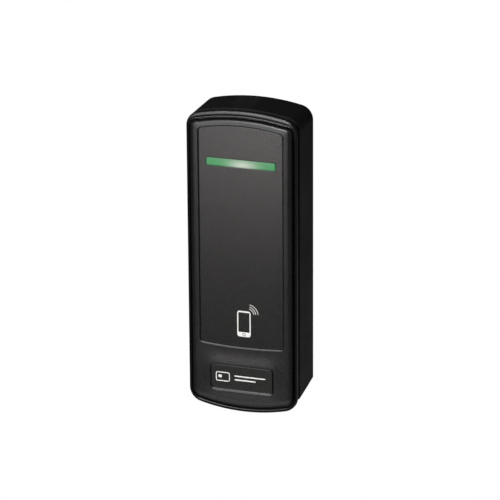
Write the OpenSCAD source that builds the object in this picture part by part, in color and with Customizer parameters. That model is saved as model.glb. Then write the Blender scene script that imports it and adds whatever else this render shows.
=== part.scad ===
// Narrow wall-mounted contactless card reader with a light bar, built as an assembly.
// X is left to right, Z is up, and the wall is the plane Y = 0 with the front facing -Y.
// Depths in this file are measured out from the wall, so depth 5 is Y = -5.
// The origin is on the wall plane at the middle of the outline.

/* [Body] */
// Width of the body, left to right
body_w = 43.2; // [43:0.1:44.5]
// Height of the front outline, over both arched ends
body_h = 120; // [120:0.5:124]
// Rise of the arched top edge
top_arch = 3.0; // [2.6:0.1:3.4]
// Drop of the arched bottom edge
bottom_arch = 3.5; // [3.1:0.1:3.9]
// Corner radius at the top
top_corner = 5.5; // [5:0.1:6]
// Corner radius at the bottom
bottom_corner = 6.0; // [5.5:0.1:6.5]
// How far the bottom wall leans up towards the wall plane
heel_relief = 2.8; // [2.4:0.1:3]
// Bow of the bottom wall, deeper than the front's so that its lower corners come out crisp
heel_arch = 6.3; // [6:0.1:6.4]

/* [Rear housing] */
// Depth of the rear housing
tub_depth = 16.8; // [16.8:0.1:17]
// Side wall thickness
tub_wall = 1.8; // [1.7:0.05:1.8]
// Floor thickness, against the wall
tub_floor = 2.0; // [1.8:0.1:2.2]
// Distance between the two wall screws
screw_pitch = 100; // [99:0.5:101]
// Clearance hole radius for the wall screws
screw_hole_r = 2.05; // [2:0.05:2.2]
// Wall screw shank radius
screw_r = 1.75; // [1.6:0.05:1.8]
// How far the wall screws stand out behind the housing
screw_reach = 14; // [10:1:20]

/* [Front bezel] */
// Depth of the rim bead
rim_depth = 20.6; // [20.4:0.1:20.8]
// Depth of the raised frame round the panel
frame_depth = 21.6; // [21.4:0.1:21.8]
// Extra height of the chin that carries the nameplate
chin_raise = 0.5; // [0.3:0.1:0.7]
// Half width of the front panel
panel_hw = 16.5; // [16:0.1:16.8]
// Height of the panel's top edge at its middle
panel_top = 54.2; // [53.8:0.1:54.4]
// Height of the panel's bottom edge at its middle
panel_bottom = -32.95; // [-33.3:0.05:-32.5]
// Length of the light bar
bar_w = 27; // [26:0.5:27]
// Height of the light bar
bar_h = 3.05; // [2.8:0.05:3.2]
// Height of the light bar's middle line
bar_z = 39.7; // [39:0.1:40]
// Width of the nameplate recess
plate_w = 24.8; // [24:0.1:25]
// Height of the nameplate recess
plate_h = 9.9; // [9.7:0.1:10.1]
// Middle of the nameplate
plate_z = -45.85; // [-46.05:0.1:-45.65]

/* [Cable] */
// Outer radius of the cable
cable_r = 2.7; // [2.6:0.05:2.8]
// Length of sheathed cable behind the wall plane
cable_tail = 30; // [20:1:40]
// Length of the stripped wires past the sheath
wire_tail = 16; // [10:1:20]

/* [Hidden] */

gap = 0.03;             // hairline between parts that touch
half_w = body_w / 2;
half_h = body_h / 2;
bottom_z = -half_h;

// Main board, with the depths where parts sit on its two faces
board_rear = 9.0;
board_front = board_rear + 1.6;
seat_rear = board_rear - gap;
seat_front = board_front + gap;

// Depths of the front cover
ceiling = 19.3;         // inner face of the bezel's front wall
recess_floor = 20.88;   // floor of the panel recess
panel_front = 21.25;
chin_front = frame_depth + chin_raise;
plate_front = chin_front - 0.45;

// Places, as [x, z]
screw_places = [[0, -screw_pitch / 2], [0, screw_pitch / 2]];
post_places = [[-15.8, 32], [15.8, 32], [-15.8, -41], [15.8, -41]];
cable_z = 8;
tamper_place = [-11, -20];
buzzer_place = [-8, 24.5];
phone_place = [0.9, -23.7];
antenna_z = -5.5;
peg_places = [[0, antenna_z + 31], [0, antenna_z - 31]];
lock_depth = 13.5;
lock_z = bottom_z + 0.8;  // the lock's parts are placed up from here
tab_z = lock_z + 5.8;     // underside of the bezel's lock tab

// ---------- outlines, as points ----------
// Top and bottom are arcs that run tangent into round corners.
// Insets keep every centre, so inset outlines are parallel.
arc_steps = 12;
corner_steps = 7;
// One end of an outline, right to left; side is 1 for the top and -1 for the bottom
function end_points(half_width, apex, rise, corner, inset, side) =
  let (
    arc_r = (half_width * half_width + rise * rise) / (2 * rise),
    arc_z = apex - arc_r,
    corner_x = half_width - corner,
    corner_z = arc_z + sqrt(pow(arc_r - corner, 2) - corner_x * corner_x),
    turn = atan2(corner_z - arc_z, corner_x),
    radius = max(corner - inset, 0.3)
  )
  concat(
    [for (k = [0 : corner_steps]) let (t = turn * k / corner_steps)
      [corner_x + radius * cos(t), side * (corner_z + radius * sin(t))]],
    [for (k = [1 : arc_steps - 1]) let (t = turn + (180 - 2 * turn) * k / arc_steps)
      [(arc_r - inset) * cos(t), side * (arc_z + (arc_r - inset) * sin(t))]],
    [for (k = [0 : corner_steps]) let (t = 180 - turn + turn * k / corner_steps)
      [-corner_x + radius * cos(t), side * (corner_z + radius * sin(t))]]
  );
function reverse(list) = [for (k = [len(list) - 1 : -1 : 0]) list[k]];
function outline(inset = 0) = concat(
  end_points(half_w, half_h, top_arch, top_corner, inset, 1),
  reverse(end_points(half_w, half_h, bottom_arch, bottom_corner, inset, -1))
);
// The front panel: straight sides, bowed ends and small corners, larger all round by grow
panel_corner = 1.3;
function panel_points(grow = 0) = concat(
  end_points(panel_hw, panel_top, 1.9, panel_corner, -grow, 1),
  reverse(end_points(panel_hw, -panel_bottom, 0.8, panel_corner, -grow, -1))
);
// The bottom wall's own bow, carried past both sides and far up, for cutting the bottom wall
heel_r = (half_w * half_w + heel_arch * heel_arch) / (2 * heel_arch);
heel_reach = 25;
heel_top = 90;
function heel_points(inset = 0, lift = 0) =
  let (radius = heel_r - inset, half_angle = asin(heel_reach / radius))
  concat(
    [for (k = [0 : 24]) let (t = half_angle * (k / 12 - 1))
      [radius * sin(t), heel_r + bottom_z + lift - radius * cos(t)]],
    [[heel_reach, heel_top], [-heel_reach, heel_top]]
  );
function round_rect(width, height, corner, steps = 6) = [
  for (quarter = [0 : 3], k = [0 : steps])
    let (
      t = 90 * quarter + 90 * k / steps,
      side_x = (quarter == 0 || quarter == 3) ? 1 : -1,
      side_z = (quarter < 2) ? 1 : -1
    )
    [side_x * (width / 2 - corner) + corner * cos(t),
     side_z * (height / 2 - corner) + corner * sin(t)]
];

// ---------- shapes between a rear and a front depth ----------
module at(x, z) translate([x, 0, z]) children();
module at_each(places) for (p = places) at(p[0], p[1]) children();
module slab(rear, front)
  translate([0, -rear, 0]) rotate([90, 0, 0]) linear_extrude(height = front - rear) children();
module disc(rear, front, radius, sides = 48)
  translate([0, -rear, 0]) rotate([90, 0, 0])
    cylinder(h = front - rear, r = radius, $fn = sides);
module box(left, right, low, high, rear, front)
  translate([left, -front, low]) cube([right - left, front - rear, high - low]);
module rounded(width, height, corner, rear, front)
  slab(rear, front) polygon(round_rect(width, height, corner));
module heel_shape(inset, lift) intersection() {
  polygon(outline(inset));
  polygon(heel_points(inset, lift));
}
// An upright cylinder on the lock's axis
module lock_cylinder(low, high, radius)
  translate([0, -lock_depth, low]) cylinder(h = high - low, r = radius, $fn = 48);
// A closed solid through a list of rings that all have the same number of points
module sweep(rings) {
  count = len(rings[0]);
  last = len(rings) - 1;
  walls = [for (i = [0 : last - 1], j = [0 : count - 1]) let (next = (j + 1) % count)
    [i * count + j, i * count + next, (i + 1) * count + next, (i + 1) * count + j]];
  caps = [[for (j = [count - 1 : -1 : 0]) j], [for (j = [0 : count - 1]) last * count + j]];
  polyhedron([for (ring = rings, point = ring) point], concat(walls, caps), convexity = 8);
}

// A prism of the bottom bow that leans so that its bottom rises towards the wall
lean_depth = 18.6;      // depth of the line it leans about
module leaning(inset) {
  translate([0, -lean_depth, bottom_z])
    rotate([atan(heel_relief / lean_depth), 0, 0])
      translate([0, lean_depth, -bottom_z])
        slab(-50, 75) polygon(heel_points(inset));
}
module tub_solid(inset, rear, front) intersection() {
  slab(rear, front) polygon(outline(inset));
  leaning(inset);
}

// ---------- rear housing and its hardware ----------
boss_rear = tub_floor - 0.5;  // bosses are rooted in the floor
screw_boss_r = 4.2;
screw_seat = 6;               // front face of the wall screw bosses
post_r = 2.6;
tamper_boss_r = 4.2;
cable_boss_r = 5.6;
cable_hole_r = 4.0;
insert_hole_r = 1.65;
plunger_r = 1.5;
// The foam gasket's loop on the rear face, narrower by slack on both sides
module gasket_loop(slack, rear, front) slab(rear, front) difference() {
  heel_shape(2.0 + slack, heel_relief);
  heel_shape(4.0 - slack, heel_relief);
}
module rear_housing() color([0.06, 0.06, 0.06]) difference() {
  union() {
    difference() {
      tub_solid(0, 0, tub_depth);
      tub_solid(tub_wall, tub_floor, tub_depth + 1);
    }
    at_each(screw_places) disc(boss_rear, screw_seat, screw_boss_r);
    at_each(post_places) disc(boss_rear, seat_rear, post_r);
    at_each([tamper_place]) disc(boss_rear, 7.4, tamper_boss_r);
    at(0, cable_z) disc(boss_rear, 4.2, cable_boss_r);
    // block that carries the lock insert, grown from the bottom wall
    box(-4, 4, bottom_z + 1.9, lock_z + 5.4, 9.8, 15.8);
  }
  at_each(screw_places) disc(-1, 7, screw_hole_r);
  at_each(post_places) disc(4.6, 10, insert_hole_r);
  // plunger bore, opening into a wider pocket in front
  at_each([tamper_place]) {
    disc(-1, 4, plunger_r + 0.06);
    disc(2.8, 8, 3.1);
  }
  at(0, cable_z) disc(-1, 5, cable_hole_r);
  // foam gasket groove
  gasket_loop(0, -1, 0.8);
  // lock insert seat and its key hole in the bottom wall
  lock_cylinder(lock_z + 1.3, lock_z + 6, 2.25);
  lock_cylinder(bottom_z - 2, lock_z + 2, 1.7);
  // drain slots in the bottom wall
  for (side = [-1, 1]) at(side * 11, bottom_z) box(-2.5, 2.5, -1, 7.5, 4, 5.2);
}
module wall_gasket() color([0.13, 0.13, 0.13]) gasket_loop(0.05, 0, 0.78);
module potting_layer() color([0.10, 0.10, 0.12]) {
  slack = 0.04;         // left round each boss
  difference() {
    tub_solid(tub_wall + gap, tub_floor + 0.02, 3.3);
    at_each(screw_places) disc(1, 4, screw_boss_r + slack);
    at_each(post_places) disc(1, 4, post_r + slack);
    at_each([tamper_place]) disc(1, 4, tamper_boss_r + slack);
    at(0, cable_z) disc(1, 4, cable_boss_r + slack);
    // kept clear of the bottom wall
    box(-17, 17, bottom_z - 1, bottom_z + 5.9, 1, 4);
  }
}
module wall_screws() color([0.62, 0.62, 0.60]) {
  head_r = 3.2;
  rim_front = 7.6;      // front of the head's straight rim
  tip_length = 1.2;
  at_each(screw_places) difference() {
    union() {
      disc(screw_seat + 0.42, rim_front, head_r);
      translate([0, -rim_front, 0]) rotate([90, 0, 0])
        cylinder(h = 1.0, r1 = head_r, r2 = 2.1, $fn = 48);
      disc(-0.5, 6.5, screw_r - 0.2);
      disc(-screw_reach + tip_length, -0.3, screw_r);
      translate([0, screw_reach - tip_length, 0]) rotate([-90, 0, 0])
        cylinder(h = tip_length, r1 = screw_r, r2 = 0.9, $fn = 48);
    }
    // hex socket
    disc(7.3, 9, 1.25, 6);
  }
}
module screw_washers() color([0.75, 0.74, 0.70]) at_each(screw_places) difference() {
  disc(screw_seat + 0.02, screw_seat + 0.4, 3.7);
  disc(5, 7, 2.0);
}
module cable_grommet() color([0.09, 0.09, 0.09]) at(0, cable_z) difference() {
  union() {
    disc(0.02, 4.3, cable_hole_r - 0.04);
    disc(4.22, 4.7, 5.2);
  }
  disc(-1, 6, cable_r + gap);
}
module cable_sheath() color([0.20, 0.20, 0.21]) at(0, cable_z) difference() {
  disc(-cable_tail, 5.8, cable_r);
  disc(-cable_tail - 1, 7, 1.95);
}
// A band round the cable with its lock head on the right
module cable_tie() color([0.12, 0.12, 0.12]) at(0, cable_z) difference() {
  tie_rear = 4.74;
  tie_front = 5.66;
  union() {
    disc(tie_rear, tie_front, 3.5);
    box(3.0, 5.6, -1.3, 1.3, tie_rear, tie_front);
  }
  disc(4, 7, cable_r + gap);
}

// ---------- wires ----------
wire_r = 0.38;
core_ring_r = 1.38;           // seven wires lie on this ring and the eighth in its middle
plug_z = -3;
plug_depth = 7.0;
plug_slots = [7, 5, 2, 0, 1, 4, 6, 3];  // plug slot of each wire, counted from the left
// Stripped ends, as [share of wire_tail past the sheath, spread from the cable's axis]
splay = [[1, 2.9], [0.66, 2.1], [0.33, 1.3]];
function ring_place(k) = k == 7 ? [0, 0]
  : core_ring_r * [cos(14 + 360 * k / 7), sin(14 + 360 * k / 7)];
function slot_x(slot) = -7 + 2 * slot;
// Each wire keeps its place in the sheath and fans out in the same order to the plug
function wire_path(k) =
  let (
    place = ring_place(k),
    x = place[0],
    z = cable_z + place[1],
    bend = 7.4 + 0.65 * place[1],  // depth where it turns down
    end_x = slot_x(plug_slots[k])
  )
  concat(
    [for (s = splay) [x * s[1], cable_tail + wire_tail * s[0], cable_z + place[1] * s[1]]],
    [
      [x, cable_tail - 1, z],
      [x, 0, z],
      [x, -(bend - 1.1), z],
      [x, -(bend - 0.32), z - 0.3],
      [x + (end_x - x) * 0.04, -bend, z - 1.1],
      [x + (end_x - x) * 0.35, -(bend * 0.8 + plug_depth * 0.2), 4.1],
      [x + (end_x - x) * 0.85, -(bend * 0.4 + plug_depth * 0.6), 1.3],
      [end_x, -plug_depth, -0.6],
      [end_x, -plug_depth, plug_z]
    ]
  );
// A tube along a path that never runs along X
module tube(path, radius, sides = 10) {
  last = len(path) - 1;
  sweep([for (i = [0 : last])
    let (
      ahead = path[min(i + 1, last)] - path[max(i - 1, 0)],
      along = ahead / norm(ahead),
      across = cross(along, [1, 0, 0]),
      axis_a = across / norm(across),
      axis_b = cross(axis_a, along)
    )
    [for (j = [0 : sides - 1]) let (t = 360 * j / sides)
      path[i] + radius * (cos(t) * axis_a + sin(t) * axis_b)]
  ]);
}
module wire(k, colour) color(colour) tube(wire_path(k), wire_r);
// Bare conductors past the end of each wire
module wire_ends() color([0.78, 0.76, 0.72]) for (k = [0 : 7]) {
  path = wire_path(k);
  along = (path[0] - path[1]) / norm(path[0] - path[1]);
  translate(path[0] + along * gap) rotate([0, acos(along[2]), atan2(along[1], along[0])])
    cylinder(h = 5 - gap, r = 0.24, $fn = 24);
}

// ---------- main board ----------
module main_board() color([0.05, 0.23, 0.11]) difference() {
  rounded(37, 88, 1.5, board_rear, board_front);
  at_each(post_places) disc(8, 12, 1.15);
  at_each(peg_places) disc(8, 12, 1.1);
}
module board_inserts() color([0.80, 0.62, 0.25]) at_each(post_places) difference() {
  disc(4.8, board_rear - 0.06, insert_hole_r - gap);
  disc(4, 10, 1.0);
}
module board_screws() color([0.66, 0.66, 0.64]) at_each(post_places) difference() {
  union() {
    disc(board_front + 0.02, board_front + 1.3, 1.9);
    disc(5.2, board_front + 0.1, 0.96);
  }
  disc(board_front + 0.6, 14, 0.75, 6);
}

// ---------- parts on the rear of the main board ----------
module part(width, height, thick)
  box(-width / 2, width / 2, -height / 2, height / 2, seat_rear - thick, seat_rear);
module shield_can() color([0.72, 0.72, 0.70]) at(9, -25) difference() {
  rounded(14, 16, 0.8, board_rear - 2.8, seat_rear);
  rounded(13.4, 15.4, 0.6, board_rear - 2.5, board_rear + 1);
  for (i = [-1 : 1], j = [-1 : 1]) at(i * 3, j * 3) disc(5, 7.4, 0.7, 24);
}
// A square chip with a corner dot and leads on all four sides
module controller_chip() color([0.09, 0.09, 0.10]) at(-8, -33) {
  lead_pitch = 0.6;
  lead_middle = 3.99;   // from the middle of the chip
  difference() {
    part(7, 7, 1.4);
    at(-2.7, 2.7) disc(5, board_rear - 1.33, 0.45, 24);
  }
  for (side = [-1, 1], k = [-5 : 5]) {
    at(side * lead_middle, k * lead_pitch) part(0.9, 0.26, 0.25);
    at(k * lead_pitch, side * lead_middle) part(0.26, 0.9, 0.25);
  }
}
module radio_module() color([0.68, 0.68, 0.66]) at(-6, 40.8) {
  at(0, -3.6) part(12, 1.9, 0.8);
  difference() {
    rounded(12, 5, 0.5, board_rear - 2.2, seat_rear);
    at(-4.6, 1.2) disc(5, board_rear - 2.1, 0.4, 24);
  }
}
module crystal() color([0.78, 0.77, 0.72])
  at(8.5, 38.5) rounded(10.2, 4.2, 2.0, board_rear - 3.2, seat_rear);
// Body, with a tab above and three leads below
module voltage_regulator() color([0.10, 0.10, 0.11]) at(-13, 10) {
  part(6.2, 5.6, 2.2);
  at(0, 3.6) part(5.2, 1.4, 0.5);
  for (k = [-1 : 1]) at(k * 2.2, -3.7) part(0.8, 1.6, 0.5);
}
module power_inductor() color([0.22, 0.22, 0.22]) at(13, 11.5) difference() {
  rounded(6, 6, 1.0, board_rear - 3.2, seat_rear);
  disc(4, board_rear - 2.7, 2.2, 32);
}
// Round cans on square bases
module capacitors() color([0.74, 0.74, 0.76]) for (x = [5.2, 11.6]) at(x, 23) {
  disc(board_rear - 5.2, seat_rear - 0.8, 2.5);
  difference() {
    part(5.3, 5.3, 0.8);
    disc(board_rear - 1, board_rear - 0.7, 2.0);
  }
}
buzzer_h = 4.9;
module buzzer() color([0.08, 0.08, 0.09]) at_each([buzzer_place]) difference() {
  union() {
    disc(board_rear - buzzer_h, seat_rear, 5.4);
    disc(board_rear - 0.8, seat_rear, 5.9);
  }
  disc(3, board_rear - 2.5, 1.0);
}
module buzzer_port_seal() color([0.16, 0.16, 0.16]) at_each([buzzer_place]) difference() {
  disc(3.34, seat_rear - buzzer_h, 3.6);
  disc(3, 6, 1.4);
}
module connector_header() color([0.86, 0.83, 0.74]) difference() {
  box(-9.4, 9.4, -14.4, -7.4, board_rear - 4.2, seat_rear);
  box(-8.5, 8.5, -13.2, -7, board_rear - 3.5, board_rear - 0.7);
}
// The plug, with a square socket in its top for each wire
module connector_plug() color([0.90, 0.88, 0.80]) {
  half_socket = 0.55;
  difference() {
    box(-8.4, 8.4, -12.9, plug_z - 0.1, board_rear - 3.4, board_rear - 0.8);
    for (k = [0 : 7]) at(slot_x(k), plug_z)
      box(-half_socket, half_socket, -1.2, 1, plug_depth - half_socket, plug_depth + half_socket);
  }
}

// ---------- antennas, in front of the main board ----------
sheet_w = 32;           // ferrite sheet and antenna board
sheet_h = 64;
sheet_corner = 1.5;
module loop(width, height, corner, band, rear, front) at(0, antenna_z) difference() {
  rounded(width, height, corner, rear, front);
  rounded(width - 2 * band, height - 2 * band, max(corner - band, 0.3), rear - 1, front + 1);
}
module ferrite_sheet() color([0.24, 0.22, 0.22]) difference() {
  at(0, antenna_z) rounded(sheet_w, sheet_h, sheet_corner, seat_front, board_front + 0.4);
  at_each(peg_places) disc(8, 12, 1.3);
}
// Two flanges joined by a core, with pegs into the main board
module coil_bobbin() color([0.16, 0.16, 0.17]) {
  difference() {
    union() {
      loop(33, 66, 3, 5, 11.05, 11.9);
      loop(25, 58, 1.2, 1.0, 11.8, 14.6);
      loop(33, 66, 3, 5, 14.5, 15.3);
    }
    // notch in the front flange at the top
    at(0, antenna_z) box(-2.5, 2.5, 29.5, 34, 14.4, 16);
  }
  at_each(peg_places) disc(board_rear + 0.1, 11.2, 1.0);
}
module antenna_coil() color([0.72, 0.40, 0.20]) loop(31.4, 64.4, 2.4, 3.1, 11.95, 14.45);
module antenna_board() color([0.06, 0.26, 0.13])
  at(0, antenna_z) rounded(sheet_w, sheet_h, sheet_corner, 15.34, 16.1);
module antenna_trace() color([0.80, 0.52, 0.28])
  for (k = [0 : 3]) loop(30 - 3.2 * k, 62 - 3.2 * k, 1.4, 0.8, 16.12, 16.2);

// ---------- light bar ----------
module status_leds() color([0.93, 0.92, 0.86])
  for (k = [-2 : 2]) at(k * 5.4, bar_z) difference() {
    box(-1.6, 1.6, -1.4, 1.4, seat_front, board_front + 1.7);
    disc(board_front + 1.3, board_front + 2, 1.1, 32);
  }
module light_shroud() color([0.90, 0.90, 0.88]) at(0, bar_z) difference() {
  rounded(30.4, 7.4, 0.8, seat_front, 17.9);
  rounded(28.6, 5.6, 0.4, board_front - 1, 19);
}

// ---------- tamper switch ----------
module tamper_switch() color([0.30, 0.30, 0.31]) at_each([tamper_place]) difference() {
  box(-1.5, 1.5, -1.5, 1.5, 7.8, seat_rear);
  disc(7, 8.6, 0.95, 32);
}
module tamper_button() color([0.85, 0.25, 0.15])
  at_each([tamper_place]) disc(7.25, 8.45, 0.88, 32);
collar_front = 5.9;     // the spring bears on this collar
module tamper_plunger() color([0.82, 0.82, 0.80]) at_each([tamper_place]) union() {
  disc(0.05, 5.2, plunger_r);
  disc(5.0, collar_front, 2.95);
  disc(5.8, 7.22, 0.9);
}
// A round wire swept along a helix, closed at both ends
module tamper_spring() color([0.70, 0.70, 0.72]) {
  coil_r = 2.62;
  thread_r = 0.17;
  turns = 4;
  steps = turns * 16;
  sides = 8;
  first = collar_front + 0.04 + thread_r;
  last = board_rear - 0.05 - thread_r;
  at_each([tamper_place]) sweep([for (i = [0 : steps])
    [for (j = [0 : sides - 1])
      let (
        t = 360 * turns * i / steps,
        q = 360 * j / sides,
        radius = coil_r + thread_r * cos(q),
        depth = first + (last - first) * i / steps + thread_r * sin(q)
      )
      [radius * cos(t), -depth, radius * sin(t)]]
  ]);
}

// ---------- cover lock ----------
module lock_insert() color([0.80, 0.62, 0.25]) difference() {
  lock_cylinder(lock_z + 1.35, lock_z + 5.35, 2.22);
  lock_cylinder(lock_z, lock_z + 8, 1.5);
}
module lock_screw() color([0.20, 0.20, 0.21]) difference() {
  lock_cylinder(lock_z + 1.7, lock_z + 5.3, 1.45);
  // hex socket from below
  translate([0, -lock_depth, lock_z + 1]) cylinder(h = 2.3, r = 0.78, $fn = 6);
}

// ---------- front cover ----------
// [inset from the outline, depth], from the neck over both beads and up to the frame
bezel_rings = [
  [0.6, tub_depth + 0.05], [0.6, 18.6], [0.15, 18.65], [0, 18.9],
  [0, rim_depth - 1.1], [0.12, rim_depth - 0.55], [0.42, rim_depth - 0.12],
  [0.8, rim_depth], [1.12, rim_depth - 0.15], [1.26, rim_depth - 0.65],
  [1.5, rim_depth - 0.65], [1.62, rim_depth - 0.3], [1.86, rim_depth - 0.15],
  [2.1, rim_depth - 0.3], [2.2, rim_depth - 0.6], [2.42, rim_depth - 0.6],
  [2.52, rim_depth], [2.75, rim_depth + 0.5], [3.2, rim_depth + 0.85],
  [3.9, frame_depth]
];
tongue_lift = 1.1;
// A thin slice of the outline below the height top
module chin_slice(inset, rear, top) slab(rear, rear + 0.05) intersection() {
  polygon(outline(inset));
  translate([-30, -70]) square([60, 70 + top]);
}
module bezel_shell() difference() {
  union() {
    sweep([for (ring = reverse(bezel_rings))
      [for (p = outline(ring[0])) [p[0], -ring[1], p[1]]]]);
    // raised chin round the nameplate
    hull() {
      chin_slice(4.3, frame_depth - 0.35, -34.4);
      chin_slice(5.6, frame_depth + 0.2, -36);
      chin_slice(7.6, chin_front - 0.05, -38.8);
    }
    // tongue that slides inside the rear housing
    slab(12, tub_depth + 1) heel_shape(tub_wall + 0.15, tongue_lift);
  }
  // hollow behind the front wall
  slab(11, ceiling) heel_shape(3.35, tongue_lift);
  // room for the lock block
  box(-4.5, 4.5, bottom_z + 1.5, tab_z, 11, 16.2);
  slab(recess_floor, 23) polygon(panel_points(0.08));
  at(0, bar_z) rounded(bar_w + 0.3, bar_h + 0.3, 0.6, 18, 22);
  at(0, plate_z) rounded(plate_w, plate_h, 1.4, plate_front - 0.35, 24);
}
// Tab above the lock block
module lock_tab() difference() {
  box(-4.6, 4.6, tab_z, tab_z + 1.6, 11.3, ceiling + 0.3);
  lock_cylinder(lock_z + 5, lock_z + 9, 1.7);
}
module front_bezel() color([0.09, 0.09, 0.09]) union() {
  bezel_shell();
  lock_tab();
}
module front_panel() color([0.20, 0.19, 0.19]) difference() {
  slab(recess_floor + 0.02, panel_front) polygon(panel_points());
  at(0, bar_z) rounded(bar_w + 0.12, bar_h + 0.12, 0.5, 20, 22);
}
// The visible bar, with a wider flange behind the front wall
module light_bar_lens() color([0.22, 0.62, 0.36]) at(0, bar_z) union() {
  rounded(bar_w, bar_h, 0.45, 19.2, panel_front - 0.06);
  rounded(29.4, 5.6, 0.8, 18.2, ceiling - gap);
}
module nameplate() color([0.17, 0.17, 0.16])
  at(0, plate_z) rounded(plate_w - 0.16, plate_h - 0.16, 1.32, plate_front - 0.33, plate_front);

// ---------- printed marks ----------
ink_rear = 0.02;        // from the face the mark lies on
ink_front = 0.1;
// A plain key card with two rules beside it
module nameplate_mark() color([0.86, 0.86, 0.84]) at(0, plate_z) {
  rear = plate_front + ink_rear;
  front = plate_front + ink_front;
  at(-7.6, 0) difference() {
    rounded(5.6, 3.8, 0.7, rear, front);
    rounded(4.9, 3.1, 0.4, rear - 1, front + 1);
  }
  at(-8.7, 0.15) rounded(1.3, 1.1, 0.2, rear, front);
  at(3.3, 0.75) rounded(12.4, 0.5, 0.2, rear, front);
  at(1.3, -0.75) rounded(8.4, 0.5, 0.2, rear, front);
}
// One arc of the radio wave, opening up and to the right
module wave(radius, line_w) slab(panel_front + ink_rear, panel_front + ink_front) intersection() {
  difference() {
    circle(r = radius + line_w / 2, $fn = 64);
    circle(r = radius - line_w / 2, $fn = 64);
  }
  polygon([[0.25 * radius, 0.1 * radius], [0.02 * radius, 8], [8, 8], [8, 0.02 * radius]]);
}
// A generic handset outline with three arcs of a radio wave
module phone_symbol() color([0.93, 0.93, 0.92]) at_each([phone_place]) {
  rear = panel_front + ink_rear;
  front = panel_front + ink_front;
  difference() {
    at(0, 0.05) rounded(5.35, 10.4, 1.0, rear, front);
    at(0, 0.67) rounded(4.45, 7.95, 0.2, rear - 1, front + 1);
    // ring below the screen
    at(0, -4.22) difference() {
      disc(rear - 1, front + 1, 0.62, 32);
      disc(rear - 2, front + 2, 0.42, 32);
    }
  }
  for (radius = [2.15, 2.95, 3.9]) at(1.75, 4.1) wave(radius, 0.22);
}

rear_housing();
wall_gasket();
potting_layer();
wall_screws();
screw_washers();
cable_grommet();
cable_sheath();
cable_tie();
wire(0, [0.75, 0.08, 0.07]);  // wire_red
wire(1, [0.05, 0.05, 0.05]);  // wire_black
wire(2, [0.07, 0.45, 0.17]);  // wire_green
wire(3, [0.88, 0.88, 0.86]);  // wire_white
wire(4, [0.34, 0.18, 0.09]);  // wire_brown
wire(5, [0.08, 0.22, 0.62]);  // wire_blue
wire(6, [0.88, 0.40, 0.06]);  // wire_orange
wire(7, [0.90, 0.78, 0.10]);  // wire_yellow
wire_ends();
main_board();
board_screws();
board_inserts();
shield_can();
controller_chip();
radio_module();
crystal();
voltage_regulator();
power_inductor();
capacitors();
buzzer();
buzzer_port_seal();
connector_header();
connector_plug();
ferrite_sheet();
coil_bobbin();
antenna_coil();
antenna_board();
antenna_trace();
status_leds();
light_shroud();
tamper_switch();
tamper_button();
tamper_plunger();
tamper_spring();
lock_insert();
lock_screw();
front_bezel();
front_panel();
light_bar_lens();
nameplate();
nameplate_mark();
phone_symbol();
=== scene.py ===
"""An upright wall reader: its front cover, panel, light bar and nameplate, with finishes for
the CAD pieces that stay.

It is centred on x = 0, z = 0, with z up. Its front faces -y and +x is to the right as seen
from the front. Shapes are drawn in mm as (x, z) points at a depth, measured forward from
y = 0, so that y = -depth.
"""
import math

import bmesh
import bpy
from mathutils import Matrix, Vector
from mathutils.geometry import delaunay_2d_cdt
from mathutils.kdtree import KDTree


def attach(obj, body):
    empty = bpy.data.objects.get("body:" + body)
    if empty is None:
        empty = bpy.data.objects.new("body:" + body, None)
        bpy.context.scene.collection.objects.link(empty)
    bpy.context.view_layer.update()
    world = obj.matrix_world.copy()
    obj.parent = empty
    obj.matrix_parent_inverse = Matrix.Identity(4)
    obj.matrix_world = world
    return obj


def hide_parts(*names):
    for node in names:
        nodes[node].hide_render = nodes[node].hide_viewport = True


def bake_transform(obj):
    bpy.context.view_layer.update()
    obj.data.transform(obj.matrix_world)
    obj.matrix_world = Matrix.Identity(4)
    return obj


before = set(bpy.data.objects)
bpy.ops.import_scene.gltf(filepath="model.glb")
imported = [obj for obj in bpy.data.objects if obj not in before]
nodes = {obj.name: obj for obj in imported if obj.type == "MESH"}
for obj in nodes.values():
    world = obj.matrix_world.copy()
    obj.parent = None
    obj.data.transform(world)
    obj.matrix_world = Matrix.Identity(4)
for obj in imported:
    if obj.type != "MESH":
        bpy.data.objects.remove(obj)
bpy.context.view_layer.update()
scene = bpy.context.scene

MM = 0.001


def arc_radius(half_chord, rise):
    """Radius of an arc that rises by this much over its chord."""
    return (half_chord * half_chord + rise * rise) / (2 * rise)


# ---------------------------------------------------------------- sizes, in mm
WIDTH, HEIGHT = 43.2, 120.0
HALF_W, HALF_H = WIDTH / 2, HEIGHT / 2

# The bowed ends: how far each bows out, and its corner radius
TOP_BOW, TOP_CORNER = 3.0, 5.5
BOTTOM_BOW, BOTTOM_CORNER = 3.5, 6.0
TOP_RADIUS = arc_radius(HALF_W, TOP_BOW)
BOTTOM_RADIUS = arc_radius(HALF_W, BOTTOM_BOW)

# The deeper bow that cuts the cover's inner edge at the bottom, and how far it is raised
HEEL_BOW, HEEL_RAISE = 6.3, 1.1
HEEL_RADIUS = arc_radius(HALF_W, HEEL_BOW)

# Depths: the raised frame, the chin pillow, the cover's inner ceiling, the panel's recess floor
# and the panel's face
FRAME, CHIN, CEILING, RECESS, PANEL = 21.6, 22.1, 19.3, 20.88, 21.25

# The panel's ends: z distance of the apex from the centre, bow, corner radius
PANEL_HALF_W = 16.5
PANEL_TOP, PANEL_BOTTOM = (54.2, 1.9, 1.3), (32.95, 0.8, 1.3)

BAR_W, BAR_H, BAR_R, BAR_Z = 27.0, 3.05, 0.75, 39.7
SLOT_GAP, SLOT_R = 0.3, 0.6
PLATE_W, PLATE_H, PLATE_R, PLATE_Z, PLATE_DEPTH = 24.8, 9.9, 1.7, -45.85, 21.65

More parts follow.
